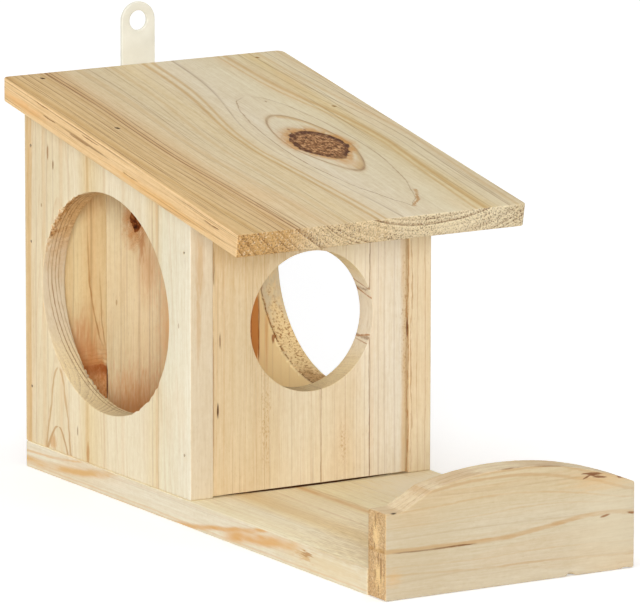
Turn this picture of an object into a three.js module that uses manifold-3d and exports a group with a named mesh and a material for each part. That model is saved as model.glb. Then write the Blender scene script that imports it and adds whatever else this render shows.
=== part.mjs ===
// Squirrel feeder box: a small pine house with a sloping roof on a long base board, whose front end is a tray
// closed by an arched board. Millimetres, +Z up, +X to the right, the front faces -Y and the wall is behind at +Y.
// While it is built, Y = 0 is the plane of the back panel's outer face. The group then moves everything along Y, so
// that the origin ends up under the middle of the whole object.
import * as THREE from 'three';
import { mergeVertices } from 'three/addons/utils/BufferGeometryUtils.js';
import Module from 'manifold-3d';

const wasm = await Module();
wasm.setup();

// House
const houseWidth = 130;
const houseDepth = 156;
const wallThickness = 12;
const backHeight = 178; // underside of the roof at the wall
const roofPitch = THREE.MathUtils.degToRad(10.5);
const glueGap = 0.3; // left under the slanted roof and round every pin and screw
const frontLift = 0.9; // the front panel stops this far above the base
const seamFromLeft = 37.7; // back panel's glue seam, from the outer face of the left side panel

// Openings, set by the wood left round them
const sideHoleBackMargin = 17;
const sideHoleFrontMargin = 20;
const sideHoleFootMargin = 26.5; // above the base
const sideHoleHeadMargin = 19.8; // under the roof, at the opening's middle
const entranceSideMargin = 20; // from the side panels
const entranceHeadMargin = 25.6; // under the roof

// Roof board
const roofSideOverhang = 12;
const roofFrontOverhang = 63.3;
const roofThickness = 11;

// Base board and tray
const baseReveal = 1; // how far the base shows beyond each side panel
const baseThickness = 12.5;
const trayDepth = 157; // from the front panel to the arched board
const trayBoardThickness = 15;
const trayEndHeight = 40;
const trayArchRise = 13.5;
const trayShoulderWidth = 9; // flat left by the saw at the left end of the arch
const trayShoulderRun = 15; // slope between that flat and the arch

// Hanger strip and its screws
const hangerWidth = 18;
const hangerThickness = 2;
const hangerEyeAboveRoof = 20.8; // to the centre of the hole and of the round top
const hangerEyeDiameter = 9.5;
const hangerFootBelowRoof = 34;
const hangerOffset = -2.5; // from the middle of the house
const screwDiameter = 3;
const screwLength = 12;
const screwPoint = 3;
const screwHeadDiameter = 6;
const screwHeadHeight = 2;
const screwHeadEdge = 0.6;
const screwCrossLength = 3.2;
const screwCrossWidth = 0.8;
const screwCrossDepth = 0.9;
const screwFromFoot = 9; // the lower screw, from the strip's foot
const screwSpacing = 15;

// Pins: headless steel brads, driven just under the surface
const pinDiameter = 1.2;
const pinLength = 25;
const pinPoint = 2;
const pinSink = 0.5;
const roofPinFromBack = 5;
const roofPinFromMiddle = 2; // the other one, from the middle of the house
const basePinFromEnd = 22;
const backPinShares = [0.166, 0.592, 0.873]; // up the back panel
const frontPinShares = [0.149, 0.839]; // up the front panel

const overrun = 5; // how far a cutter runs past the wood
const roundSteps = 12; // pins, screws and their holes
const holeSteps = 64;
const archSteps = 28;

// Places worked out from the sizes
const halfHouse = houseWidth / 2;
const halfWall = wallThickness / 2;
const innerHalf = halfHouse - wallThickness;
const halfBase = halfHouse + baseReveal;
const halfRoof = halfHouse + roofSideOverhang;
const roofLength = (houseDepth + roofFrontOverhang) / Math.cos(roofPitch); // along the slope
const baseLength = houseDepth + trayDepth;
const trayFront = -baseLength - trayBoardThickness;
const backmost = hangerThickness + screwHeadHeight;
const middleY = (trayFront + backmost) / 2;
const undersideAt = (y) => backHeight + Math.tan(roofPitch) * y;
const roofTopAt = (y) => undersideAt(y) + roofThickness / Math.cos(roofPitch);
const hangerEyeUp = roofTopAt(0) + hangerEyeAboveRoof;
const hangerFoot = backHeight - hangerFootBelowRoof;
const sideHoleDepth = houseDepth - sideHoleBackMargin - sideHoleFrontMargin;
const sideHoleMiddle = -sideHoleBackMargin - sideHoleDepth / 2;
const sideHoleFoot = baseThickness + sideHoleFootMargin;
const sideHoleHeight = undersideAt(sideHoleMiddle) - sideHoleHeadMargin - sideHoleFoot;
const entranceRadius = innerHalf - entranceSideMargin;
const entranceUp = undersideAt(-houseDepth) - entranceHeadMargin - entranceRadius;

const pine = (colour, roughness = 0.75) => new THREE.MeshStandardMaterial({ color: colour, roughness, metalness: 0 });
const roofPine = pine(0xd8c095);
const sidePine = pine(0xe8dabb);
const frontPine = pine(0xdfc79c);
const insidePine = pine(0xd9b88a);
const basePine = pine(0xe2c898);
const trayPine = pine(0xdcc8a4);
const coatedSteel = new THREE.MeshStandardMaterial({ color: 0xdedbd0, roughness: 0.45, metalness: 0.2 });
const bareSteel = new THREE.MeshStandardMaterial({ color: 0x8d8b86, roughness: 0.4, metalness: 1 });

const feeder = new THREE.Group();
feeder.position.y = -middleY;

// Solids
function toSolid(geometry) {
  const bare = geometry.clone();
  bare.deleteAttribute('normal');
  bare.deleteAttribute('uv');
  const merged = mergeVertices(bare);
  return new wasm.Manifold(new wasm.Mesh({
    numProp: 3,
    vertProperties: new Float32Array(merged.attributes.position.array),
    triVerts: new Uint32Array(merged.index.array),
  }));
}

function toGeometry(solid) {
  const mesh = solid.getMesh();
  const geometry = new THREE.BufferGeometry();
  geometry.setAttribute('position', new THREE.BufferAttribute(new Float32Array(mesh.vertProperties), 3));
  geometry.setIndex(new THREE.BufferAttribute(new Uint32Array(mesh.triVerts), 1));
  geometry.computeVertexNormals();
  return geometry;
}

function addPiece(name, solid, material) {
  const piece = new THREE.Mesh(toGeometry(solid), material);
  piece.name = name;
  feeder.add(piece);
}

// A flat outline given in (y, z), extruded along X from one x to the other
function slabAlongX(shape, fromX, toX) {
  const geometry = new THREE.ExtrudeGeometry(shape, { depth: toX - fromX, bevelEnabled: false, curveSegments: holeSteps });
  geometry.applyMatrix4(new THREE.Matrix4().set(0, 0, 1, fromX, 1, 0, 0, 0, 0, 1, 0, 0, 0, 0, 0, 1));
  return toSolid(geometry);
}

// A flat outline given in (x, z), extruded along Y from one y back to the other
function slabAlongY(shape, fromY, toY) {
  const geometry = new THREE.ExtrudeGeometry(shape, { depth: toY - fromY, bevelEnabled: false, curveSegments: holeSteps });
  geometry.applyMatrix4(new THREE.Matrix4().set(1, 0, 0, 0, 0, 0, -1, toY, 0, 1, 0, 0, 0, 0, 0, 1));
  return toSolid(geometry);
}

function outline(points) {
  return new THREE.Shape(points.map(([a, b]) => new THREE.Vector2(a, b)));
}

function rectangle(left, low, right, high) {
  return outline([[left, low], [right, low], [right, high], [left, high]]);
}

// A round solid turned about its own axis, laid from a point along a direction; profile is [radius, distance]
function turned(profile, start, direction) {
  const points = profile.map(([radius, distance]) => new THREE.Vector2(radius, distance));
  const geometry = new THREE.LatheGeometry(points, roundSteps);
  const turn = new THREE.Quaternion().setFromUnitVectors(new THREE.Vector3(0, 1, 0), direction.clone().normalize());
  geometry.applyMatrix4(new THREE.Matrix4().compose(start, turn, new THREE.Vector3(1, 1, 1)));
  return toSolid(geometry);
}

// Where each pin starts, on the wood's surface, and which way it is driven
const across = new THREE.Vector3(1, 0, 0);
const down = new THREE.Vector3(0, 0, -1);
const pins = [];

function addPin(name, start, direction) {
  pins.push({ name, start, direction: direction.clone().normalize() });
}

const roofPins = [roofPinFromBack, houseDepth / 2 - roofPinFromMiddle];
const basePins = [basePinFromEnd, houseDepth - basePinFromEnd];
const upPanel = (share, y) => baseThickness + share * (undersideAt(y) - baseThickness);
for (const [side, sign] of [['left', -1], ['right', 1]]) {
  const wallMiddle = sign * (halfHouse - halfWall);
  const inward = across.clone().multiplyScalar(-sign);
  roofPins.forEach((back, index) => {
    addPin(`roof_pin_${side}_${['back', 'front'][index]}`, new THREE.Vector3(wallMiddle, -back, roofTopAt(-back)), down);
  });
  backPinShares.forEach((share, index) => {
    const place = new THREE.Vector3(sign * halfHouse, -halfWall, upPanel(share, -halfWall));
    addPin(`side_back_pin_${side}_${['low', 'middle', 'high'][index]}`, place, inward);
  });
  frontPinShares.forEach((share, index) => {
    const middle = halfWall - houseDepth;
    const place = new THREE.Vector3(sign * halfHouse, middle, upPanel(share, middle));
    addPin(`side_front_pin_${side}_${['low', 'high'][index]}`, place, inward);
  });
  basePins.forEach((back, index) => {
    const place = new THREE.Vector3(wallMiddle, -back, 0);
    addPin(`base_pin_${side}_${['back', 'front'][index]}`, place, down.clone().negate());
  });
}
addPin('base_pin_back', new THREE.Vector3(0, -halfWall, 0), down.clone().negate());

function pinSolid({ start, direction }) {
  const seat = start.clone().addScaledVector(direction, pinSink);
  const radius = pinDiameter / 2;
  return turned([[0, 0], [radius, 0], [radius, pinLength - pinPoint], [0, pinLength]], seat, direction);
}

function pinBore({ start, direction }) {
  const mouth = start.clone().addScaledVector(direction, -overrun);
  const radius = pinDiameter / 2 + glueGap;
  const depth = overrun + pinSink + pinLength + glueGap;
  return turned([[0, 0], [radius, 0], [radius, depth], [0, depth]], mouth, direction);
}

const pinBores = pins.map(pinBore).reduce((all, bore) => all.add(bore));
const bored = (solid) => solid.subtract(pinBores);

// Everything above the line where the walls meet the roof
const wallTopAt = (y) => undersideAt(y) - glueGap / Math.cos(roofPitch);
const beyondFront = -houseDepth - overrun;
const tallest = backHeight + overrun;
const aboveWalls = slabAlongX(
  outline([
    [beyondFront, wallTopAt(beyondFront)],
    [overrun, wallTopAt(overrun)],
    [overrun, tallest + overrun],
    [beyondFront, tallest + overrun],
  ]),
  -halfHouse - overrun,
  halfHouse + overrun,
);

// Side panels stand on the base, one each side, each with its large round opening
function sidePanel(outerX, innerX) {
  const shape = rectangle(-houseDepth, baseThickness, 0, tallest);
  const opening = new THREE.Path();
  const middleUp = sideHoleFoot + sideHoleHeight / 2;
  opening.absellipse(sideHoleMiddle, middleUp, sideHoleDepth / 2, sideHoleHeight / 2, 0, 2 * Math.PI, true);
  shape.holes.push(opening);
  const wood = slabAlongX(shape, Math.min(outerX, innerX), Math.max(outerX, innerX));
  return bored(wood.subtract(aboveWalls));
}

// Front panel, between the side panels, with the round entrance
function frontPanel() {
  const shape = rectangle(-innerHalf, baseThickness + frontLift, innerHalf, tallest);
  const entrance = new THREE.Path();
  entrance.absarc(0, entranceUp, entranceRadius, 0, 2 * Math.PI, true);
  shape.holes.push(entrance);
  return bored(slabAlongY(shape, -houseDepth, wallThickness - houseDepth).subtract(aboveWalls));
}

// Strips of the back panel, between the side panels
function backStrip(fromX, toX) {
  const shape = rectangle(fromX, baseThickness, toX, tallest);
  return bored(slabAlongY(shape, -wallThickness, 0).subtract(aboveWalls));
}

// The roof board is cut plumb where it meets the wall and square to its slope in front
function roofBoard() {
  const along = [-Math.cos(roofPitch), -Math.sin(roofPitch)];
  const topBack = [0, roofTopAt(0)];
  const topFront = [topBack[0] + along[0] * roofLength, topBack[1] + along[1] * roofLength];
  const lowFront = [
    topFront[0] + Math.sin(roofPitch) * roofThickness,
    topFront[1] - Math.cos(roofPitch) * roofThickness,
  ];
  const shape = outline([[0, backHeight], topBack, topFront, lowFront].reverse());
  return bored(slabAlongX(shape, -halfRoof, halfRoof));
}

function baseBoard() {
  return bored(slabAlongX(rectangle(-baseLength, 0, 0, baseThickness), -halfBase, halfBase));
}

// The arch is a round arc from end to end, but the saw left a flat shoulder at its left end
function trayFrontBoard() {
  const radius = (halfBase * halfBase + trayArchRise * trayArchRise) / (2 * trayArchRise);
  const arcAt = (x) => trayEndHeight + trayArchRise - radius + Math.sqrt(radius * radius - x * x);
  const arcStart = -halfBase + trayShoulderWidth + trayShoulderRun;
  const points = [[-halfBase, 0], [halfBase, 0]];
  for (let step = 0; step <= archSteps; step += 1) {
    const x = halfBase + (arcStart - halfBase) * (step / archSteps);
    points.push([x, arcAt(x)]);
  }
  points.push([-halfBase + trayShoulderWidth, trayEndHeight], [-halfBase, trayEndHeight]);
  return slabAlongY(outline(points), trayFront, -baseLength);
}

// Hanger strip, flat against the back, with its eye above the roof
const screwHeights = [0, 1].map((step) => hangerFoot + screwFromFoot + step * screwSpacing);
const screwStart = (height) => new THREE.Vector3(hangerOffset, hangerThickness, height);
const forward = new THREE.Vector3(0, -1, 0);

function screwHole(height) {
  const radius = screwDiameter / 2 + glueGap;
  const mouth = screwStart(height).addScaledVector(forward, -overrun);
  const depth = overrun + screwLength - screwPoint + glueGap;
  const tip = overrun + screwLength + glueGap;
  return turned([[0, 0], [radius, 0], [radius, depth], [0, tip]], mouth, forward);
}

const screwHoles = screwHeights.map(screwHole).reduce((all, hole) => all.add(hole));

function hangerPlate() {
  const radius = hangerWidth / 2;
  const shape = new THREE.Shape();
  shape.moveTo(hangerOffset - radius, hangerFoot);
  shape.lineTo(hangerOffset + radius, hangerFoot);
  shape.lineTo(hangerOffset + radius, hangerEyeUp);
  shape.absarc(hangerOffset, hangerEyeUp, radius, 0, Math.PI, false);
  const eye = new THREE.Path();
  eye.absarc(hangerOffset, hangerEyeUp, hangerEyeDiameter / 2, 0, 2 * Math.PI, true);
  shape.holes.push(eye);
  return slabAlongY(shape, 0, hangerThickness).subtract(screwHoles);
}

// Pan-head screw with a cross recess
function hangerScrew(height) {
  const start = screwStart(height);
  const headRadius = screwHeadDiameter / 2;
  const radius = screwDiameter / 2;
  const body = turned([
    [0, -screwHeadHeight],
    [headRadius - screwHeadEdge, -screwHeadHeight],
    [headRadius, screwHeadEdge - screwHeadHeight],
    [headRadius, 0],
    [radius, 0],
    [radius, screwLength - screwPoint],
    [0, screwLength],
  ], start, forward);
  const recessTop = hangerThickness + screwHeadHeight + overrun;
  const recessFloor = hangerThickness + screwHeadHeight - screwCrossDepth;
  const arm = (wide, tall) => slabAlongY(
    rectangle(hangerOffset - wide / 2, height - tall / 2, hangerOffset + wide / 2, height + tall / 2),
    recessFloor,
    recessTop,
  );
  return body.subtract(arm(screwCrossLength, screwCrossWidth).add(arm(screwCrossWidth, screwCrossLength)));
}

addPiece('base_board', baseBoard(), basePine);
addPiece('left_side_panel', sidePanel(-halfHouse, -innerHalf), sidePine);
addPiece('right_side_panel', sidePanel(halfHouse, innerHalf), sidePine);
addPiece('front_panel', frontPanel(), frontPine);
addPiece('back_panel_left', backStrip(-innerHalf, seamFromLeft - halfHouse), insidePine);
addPiece('back_panel_right', backStrip(seamFromLeft - halfHouse, innerHalf).subtract(screwHoles), insidePine);
addPiece('roof_board', roofBoard(), roofPine);
addPiece('tray_front_board', trayFrontBoard(), trayPine);
addPiece('hanger_plate', hangerPlate(), coatedSteel);
addPiece('hanger_screw_lower', hangerScrew(screwHeights[0]), bareSteel);
addPiece('hanger_screw_upper', hangerScrew(screwHeights[1]), bareSteel);
for (const pin of pins) {
  addPiece(pin.name, pinSolid(pin), bareSteel);
}

export default feeder;
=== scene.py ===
# Squirrel feeder box: a small pine house with a sloping roof, on a long base board that ends in a tray.
# Sizes are in millimetres, in the frame's axes (+X right, the front faces -Y, +Z up) or in a board's own.
import math

import bmesh
import bpy
from mathutils import Matrix, Vector, noise
from mathutils.geometry import delaunay_2d_cdt


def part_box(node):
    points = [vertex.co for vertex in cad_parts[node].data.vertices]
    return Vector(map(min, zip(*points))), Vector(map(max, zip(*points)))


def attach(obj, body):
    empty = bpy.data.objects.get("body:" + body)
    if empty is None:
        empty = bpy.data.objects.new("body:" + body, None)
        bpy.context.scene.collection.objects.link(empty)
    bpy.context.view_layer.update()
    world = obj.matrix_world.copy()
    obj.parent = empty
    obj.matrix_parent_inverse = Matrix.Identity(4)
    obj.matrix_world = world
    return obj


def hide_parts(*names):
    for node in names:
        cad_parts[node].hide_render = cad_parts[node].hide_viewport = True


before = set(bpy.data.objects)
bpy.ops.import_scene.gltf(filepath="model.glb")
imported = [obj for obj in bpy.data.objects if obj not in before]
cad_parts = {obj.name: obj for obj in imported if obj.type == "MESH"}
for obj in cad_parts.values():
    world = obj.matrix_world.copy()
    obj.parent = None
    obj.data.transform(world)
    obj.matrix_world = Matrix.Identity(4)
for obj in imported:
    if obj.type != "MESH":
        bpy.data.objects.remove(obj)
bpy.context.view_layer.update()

mm = 0.001
print("frame loaded,", len(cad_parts), "nodes")


def boxOf(node):
    low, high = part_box(node)
    return low / mm, high / mm


# What the frame says of the house, and the few sizes that its boxes don't show
baseLow, baseHigh = boxOf("base_board")
frontLow, frontHigh = boxOf("front_panel")
roofHigh = boxOf("roof_board")[1]
outerX, innerX = boxOf("right_side_panel")[1].x, frontHigh.x
wallY = boxOf("back_panel_left")[1].y  # plane of the back's outer face
baseTop = baseHigh.z
house = {
    "wall": outerX - innerX,
    "depth": wallY - frontLow.y,
    "pitch": math.radians(10.5),
    "seat": 0.05,  # left between the walls and the roof
}
roof = {"thick": 11, "length": 223, "half": roofHigh.x, "top": roofHigh.z, "rounding": (3, 4, 1.8, 1.1)}


def underside(back):
    # height of the roof's lower face this far in front of the wall
    thick = roof["thick"] / math.cos(house["pitch"])
    return roof["top"] - thick - math.tan(house["pitch"]) * back - house["seat"]


def tint(code):
    # a colour as it looks on a screen, six hexadecimal digits, to the renderer's linear one
    parts = [int(code[i:i + 2], 16) / 255 for i in (0, 2, 4)]
    return tuple(p / 12.92 if p <= 0.04045 else ((p + 0.055) / 1.055) ** 2.4 for p in parts) + (1.0,)


def tinted(stops):
    # (value, colour's code) stops made ready for a ramp
    return [(value, tint(code)) for value, code in stops]


def isPlace(value):
    # whether a value is a place or a colour rather than a number
    return isinstance(value, tuple) or isinstance(value, Wire) and value.socket.type != "VALUE"


class Wire:
    # A node's output. Operators on numbers add Math nodes, those on places and colours Vector Math nodes.
    def __init__(self, tree, socket):
        self.tree, self.socket = tree, socket

    def node(self, kind, settings=None, sockets=None, out=0):
        made = self.tree.nodes.new(kind)
        for name, value in (settings or {}).items():
            if name == "stops":
                fillRamp(made.color_ramp, value)
            elif name == "between":
                made.color_ramp.interpolation = value
            else:
                setattr(made, name, value)
        for name, value in (sockets or {}).items():
            if isinstance(value, Wire):
                self.tree.links.new(value.socket, made.inputs[name])
            else:
                made.inputs[name].default_value = value
        return Wire(self.tree, made.outputs[out]) if made.outputs else None

    def calc(self, operation, *values):
        places = [isPlace(value) for value in values]
        if not any(places):
            return self.node("ShaderNodeMath", {"operation": operation}, dict(enumerate(values)))
        if operation == "MULTIPLY" and not all(places):
            place, factor = values if places[0] else values[::-1]
            return self.node("ShaderNodeVectorMath", {"operation": "SCALE"}, {0: place, "Scale": factor})
        out = 1 if operation in ("LENGTH", "DOT_PRODUCT") else 0
        return self.node("ShaderNodeVectorMath", {"operation": operation}, dict(enumerate(values)), out)

    def __add__(self, other):
        return self.calc("ADD", self, other)

    def __radd__(self, other):
        return self.calc("ADD", other, self)

    def __sub__(self, other):
        return self.calc("SUBTRACT", self, other)

    def __rsub__(self, other):
        return self.calc("SUBTRACT", other, self)

    def __mul__(self, other):
        return self.calc("MULTIPLY", self, other)

    def __rmul__(self, other):
        return self.calc("MULTIPLY", other, self)

    def __truediv__(self, other):
        return self.calc("DIVIDE", self, other)

    def __pow__(self, other):
        return self.calc("POWER", self, other)

    def __rpow__(self, other):
        return self.calc("POWER", other, self)

    def __abs__(self):
        return self.calc("ABSOLUTE", self)

    def atLeast(self, low):
        return self.calc("MAXIMUM", self, low)

    def atMost(self, high):
        return self.calc("MINIMUM", self, high)

    def rise(self, low, high):
        # 0 up to low, 1 from high on, smooth between; high below low turns it round
        sockets = {"Value": self, "From Min": min(low, high), "From Max": max(low, high)}
        if high < low:
            sockets.update({"To Min": 1.0, "To Max": 0.0})
        return self.node("ShaderNodeMapRange", {"interpolation_type": "SMOOTHSTEP"}, sockets)

    def ramp(self, stops, between="LINEAR"):
        # a ramp through (value, colour) or (value, number) stops
        low, high = stops[0][0], stops[-1][0]
        share = self.node("ShaderNodeMapRange", {}, {"Value": self, "From Min": low, "From Max": high})
        placed = [((value - low) / (high - low), colour) for value, colour in stops]
        made = share.node("ShaderNodeValToRGB", {"stops": placed, "between": between}, {0: share})
        if isinstance(stops[0][1], tuple):
            return made
        return made.node("ShaderNodeSeparateColor", {}, {0: made})

    def over(self, under, colour):
        # this mask lays colour over what is under it
        return self.node("ShaderNodeMix", {"data_type": "RGBA"}, {0: self, 6: under, 7: colour}, 2)

    def grain(self, sizes, seed, detail=2.0, rough=0.55):
        # noise from about -1 to 1, its blotches about these sizes across, along and into the board
        stretched = self * tuple(1 / size for size in sizes) + (seed, seed * 0.7, seed * 1.3)
        sockets = {"Vector": stretched, "Scale": 1.0, "Detail": detail, "Roughness": rough}
        return stretched.node("ShaderNodeTexNoise", {}, sockets) * 4 - 2

    def parts(self):
        return [self.node("ShaderNodeSeparateXYZ", {}, {0: self}, out) for out in range(3)]

    def length(self):
        return self.calc("LENGTH", self)


def fillRamp(ramp, stops):
    for place, colour in stops[2:]:
        ramp.elements.new(1.0)
    for element, (place, colour) in zip(ramp.elements, stops):
        element.position = place
        element.color = colour if isinstance(colour, tuple) else (colour, colour, colour, 1.0)


def newObject(name, data):
    made = bpy.data.objects.new(name, data)
    bpy.context.scene.collection.objects.link(made)
    return made


def newMaterial(name):
    material = bpy.data.materials.new(name)
    material.use_nodes = True
    tree = material.node_tree
    tree.nodes.clear()
    return material, Wire(tree, tree.nodes.new("ShaderNodeTexCoord").outputs["Object"])


def finishMaterial(start, colour, roughness, height, sockets):
    # height is in millimetres
    bump = start.node("ShaderNodeBump", {}, {"Strength": 1.0, "Distance": mm, "Height": height})
    given = {"Base Color": colour, "Roughness": roughness, "Normal": bump, **sockets}
    shader = start.node("ShaderNodeBsdfPrincipled", {}, given)
    start.node("ShaderNodeOutputMaterial", {}, {"Surface": shader})


# Boards. A board has its own axes: across the grain, along it, and into the wood from its showing face.
def boardAxes(origin, across, along, into):
    turn = Matrix((across, along, into)).transposed()
    return {"origin": Vector(origin), "turn": turn, "back": turn.inverted()}


def offBoard(axes, place):
    return (axes["origin"] + axes["turn"] @ Vector(place)) * mm


def cornered(corners, spacing=0.8):
    # a closed outline through (across, along, radius) corners, its straight stretches cut into short steps
    points = []
    for i, (x, y, radius) in enumerate(corners):
        corner = Vector((x, y))
        before = (Vector(corners[i - 1][:2]) - corner).normalized()
        after = (Vector(corners[(i + 1) % len(corners)][:2]) - corner).normalized()
        half = before.angle(after) / 2
        if radius == 0:
            points.append(corner)
            continue
        start, end = (corner + side * (radius / math.tan(half)) for side in (before, after))
        centre = corner + (before + after).normalized() * (radius / math.sin(half))
        turn = (start - centre).angle_signed(end - centre)
        steps = max(3, math.ceil(abs(turn) * radius / spacing * 1.5))
        for step in range(steps + 1):
            points.append(centre + Matrix.Rotation(-turn * step / steps, 2) @ (start - centre))
    dense = []
    for point, following in zip(points, points[1:] + points[:1]):
        count = max(1, math.ceil((following - point).length / spacing))
        dense += [point.lerp(following, step / count) for step in range(count)]
    return dense


def fourSided(left, right, near, far, radii):
    # a board's outline, with its corners' radii in turn from the near left one
    corners = ((left, near), (right, near), (right, far), (left, far))
    return cornered([(*corner, radius) for corner, radius in zip(corners, radii)])


def oval(centre, half, spacing=0.7):
    # a hole's outline, run the other way round than the board's own
    count = math.ceil(math.pi * sum(half) / spacing)
    turns = [-2 * math.pi * step / count for step in range(count)]
    return [Vector((centre[0] + half[0] * math.cos(t), centre[1] + half[1] * math.sin(t))) for t in turns]


def inwardOf(loop):
    # unit directions into the wood
    out = []
    for i, point in enumerate(loop):
        run = (loop[(i + 1) % len(loop)] - loop[i - 1]).normalized()
        out.append(Vector((-run.y, run.x)))
    return out


def bite(point, depth, thick, chips):
    # how much wood the chips take from the edge at this point
    gone = 0
    for chip in chips:
        off = (Vector(chip["at"]) - point).length / chip["reach"]
        if off >= 1:
            continue
        down = thick - depth if chip.get("fromBehind") else depth
        fade = (1 - off * off) * max(0, 1 - down / chip["deep"])
        if "pitch" in chip:  # a ragged one
            rough = noise.noise(Vector((point.x, point.y, chip["reach"])) / chip["pitch"])
            fade *= max(0, rough + 0.25) * 1.6
        gone += chip["size"] * fade
    return gone


def fillFace(bm, rings, flip):
    # closes a flat face between an outer ring of vertices and any inner ones; each ring is (points, vertices)
    points = [p for ring in rings for p in ring[0]]
    verts = [v for ring in rings for v in ring[1]]
    edges, start = [], 0
    for ring in rings:
        count = len(ring[0])
        edges += [(start + i, start + (i + 1) % count) for i in range(count)]
        start += count
    found, _, faces, origins, _, _ = delaunay_2d_cdt(points, edges, [], 0, 1e-5)
    ends = [(points[a], points[b]) for a, b in edges]
    for face in faces:
        centre = sum((found[i] for i in face), Vector((0, 0))) / len(face)
        crossed = sum((a.y > centre.y) != (b.y > centre.y)
                      and centre.x < a.x + (centre.y - a.y) / (b.y - a.y) * (b.x - a.x) for a, b in ends)
        if crossed % 2:
            corners = [verts[origins[i][0]] for i in face]
            bm.faces.new(corners[::-1] if flip else corners)


def eased(thick, ease, gap):
    # (inset, depth) down a board's edge: rounded over, straight, rounded under
    quarter = 4
    turns = [math.pi / 2 * step / quarter for step in range(quarter + 1)]
    over = [(ease * (1 - math.sin(t)), ease * (1 - math.cos(t))) for t in turns]
    steps = max(2, round((thick - 2 * ease) / gap))
    straight = [(0.0, ease + (thick - 2 * ease) * step / steps) for step in range(1, steps)]
    return over + straight + [(inset, thick - depth) for inset, depth in reversed(over)]


# How far apart the saw's slow swells and its fine rasping are, and how far in a plumb end's slope reaches
sawing = {"swell": 19, "rasp": 1.3, "raspDown": 1.7, "plumbReach": 30}
pinDimple = {"radius": 0.72, "depth": 0.56, "taper": 0.85, "spacing": 0.288}  # the pins' tops lie 0.5 deep
crispFrom = 35  # degrees between two faces; a flatter edge is shaded smooth


def makeBoard(name, axes, thick, outline, holes=(), pins=(), pinsBehind=False, chips=(), ease=0.5, wave=0.12,
              grit=0.04, seed=0.0, gap=1.3, plumb=0.0):
    bm = bmesh.new()

    def put(point, depth):
        along = point.y + depth * plumb * max(0, 1 - point.y / sawing["plumbReach"])
        return bm.verts.new(offBoard(axes, (point.x, along, depth)))

    def band(near, far):
        for i, vert in enumerate(near):
            j = (i + 1) % len(near)
            bm.faces.new((vert, near[j], far[j], far[i])).smooth = True

    caps = ([], [])
    for loop in [outline, *holes]:
        slow = [noise.noise(Vector((p.x / sawing["swell"], p.y / sawing["swell"], seed))) for p in loop]
        rings = []
        for inset, depth in eased(thick, ease, gap):
            moved = []
            for point, way, swell in zip(loop, inwardOf(loop), slow):
                x, y = point.x / sawing["rasp"] + seed, point.y / sawing["rasp"]
                rasp = noise.noise(Vector((x, y, depth / sawing["raspDown"])))
                gone = bite(point, depth, thick, chips)
                back = inset + wave * (0.5 + 0.5 * swell) + grit * (1 + rasp) + gone
                moved.append(point + way * back)
            rings.append((moved, [put(p, depth) for p in moved]))
        for near, far in zip(rings, rings[1:]):
            band(near[1], far[1])
        caps[0].append(rings[0])
        caps[1].append(rings[-1])
    for spot in pins:
        circle = oval(spot, (pinDimple["radius"],) * 2, pinDimple["spacing"])
        face, floor = (thick, thick - pinDimple["depth"]) if pinsBehind else (0, pinDimple["depth"])
        top = [put(p, face) for p in circle]
        low = [put(Vector(spot).lerp(p, pinDimple["taper"]), floor) for p in circle]
        band(top, low)
        bm.faces.new(low)
        caps[pinsBehind].append((circle, top))
    fillFace(bm, caps[0], True)
    fillFace(bm, caps[1], False)
    return meshPiece(name, bm)


def meshPiece(name, bm):
    bmesh.ops.recalc_face_normals(bm, faces=bm.faces)
    mesh = bpy.data.meshes.new(name)
    bm.to_mesh(mesh)
    bm.free()
    mesh.set_sharp_from_angle(angle=math.radians(crispFrom))
    return newObject(name, mesh)


def settle(piece, material, node):
    piece.data.materials.append(material)
    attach(piece, "root")
    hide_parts(node)
    print("made", piece.name, "with", len(piece.data.polygons), "faces")


def pinSpots(axes, start):
    # where the frame's pins of this kind break a board's face, in the board's axes
    spots = []
    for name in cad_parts:
        if name.startswith(start):
            low, high = boxOf(name)
            middle = axes["back"] @ ((low + high) / 2 - axes["origin"])
            spots.append((middle.x, middle.y))
    return spots


# Pine. Rings run round a pith line beside or behind the board; what the photo shows singly is laid over them.
def yearRings(here, wood):
    across, along, into = here.parts()
    rings, seed = wood["rings"], wood["seed"]
    off = across - rings["centre"] + here.grain((40, 150, 40), seed, 1) * rings["wander"]
    off = off + here.grain((7, 30, 7), seed + 3, 1) * rings["ripple"]
    if "slant" in rings:  # rings farther out than fromTo lean over, about the pivot
        slant = rings["slant"]
        far = abs(across - slant["centre"]).rise(*slant["fromTo"])
        off = off - (along - slant["pivot"]) * slant["by"] * far
    swell = 0.0
    # on a bulge's side of its place along the board, the rings close in an arch
    for bulge in wood.get("bulges", ()):
        reach = ((along - bulge["at"]) * bulge["side"]).atLeast(0) / bulge["reach"]
        swell = swell + (1 - math.e ** (reach ** bulge["power"] * -1)) * bulge["height"]
    spread = off * off + swell
    deep = into + rings["pith"]
    ringAt = (spread + deep * deep) ** 0.5 - abs(rings["pith"]) + along * rings["lean"]
    # pale early wood darkens slowly through the year, then stops sharply
    sockets = {"W": ringAt / (rings["width"] * 3) + seed, "Scale": 1.0, "Detail": 1.0}
    uneven = ringAt.node("ShaderNodeTexNoise", {"noise_dimensions": "1D"}, sockets)
    phase = ringAt / rings["width"] + (uneven - 0.5) * rings["uneven"]
    number = phase.calc("FLOOR", phase)
    year = number.node("ShaderNodeTexWhiteNoise", {"noise_dimensions": "1D"}, {"W": number + seed})
    through = [(0, 0.0), (rings["soft"], 0.03), (0.8, 0.45), (0.93, 1.0), (0.985, 0.7), (1, 0.0)]
    late = (phase - number).ramp(through)
    fade = here.grain((3, 45, 3), seed + 7, 2).rise(-0.9, 0.9)
    late = late * (year ** 2 * 0.85 + 0.15) * (fade * 0.7 + 0.3)
    return late, off.calc("SIGN", off) * spread ** 0.5


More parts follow.
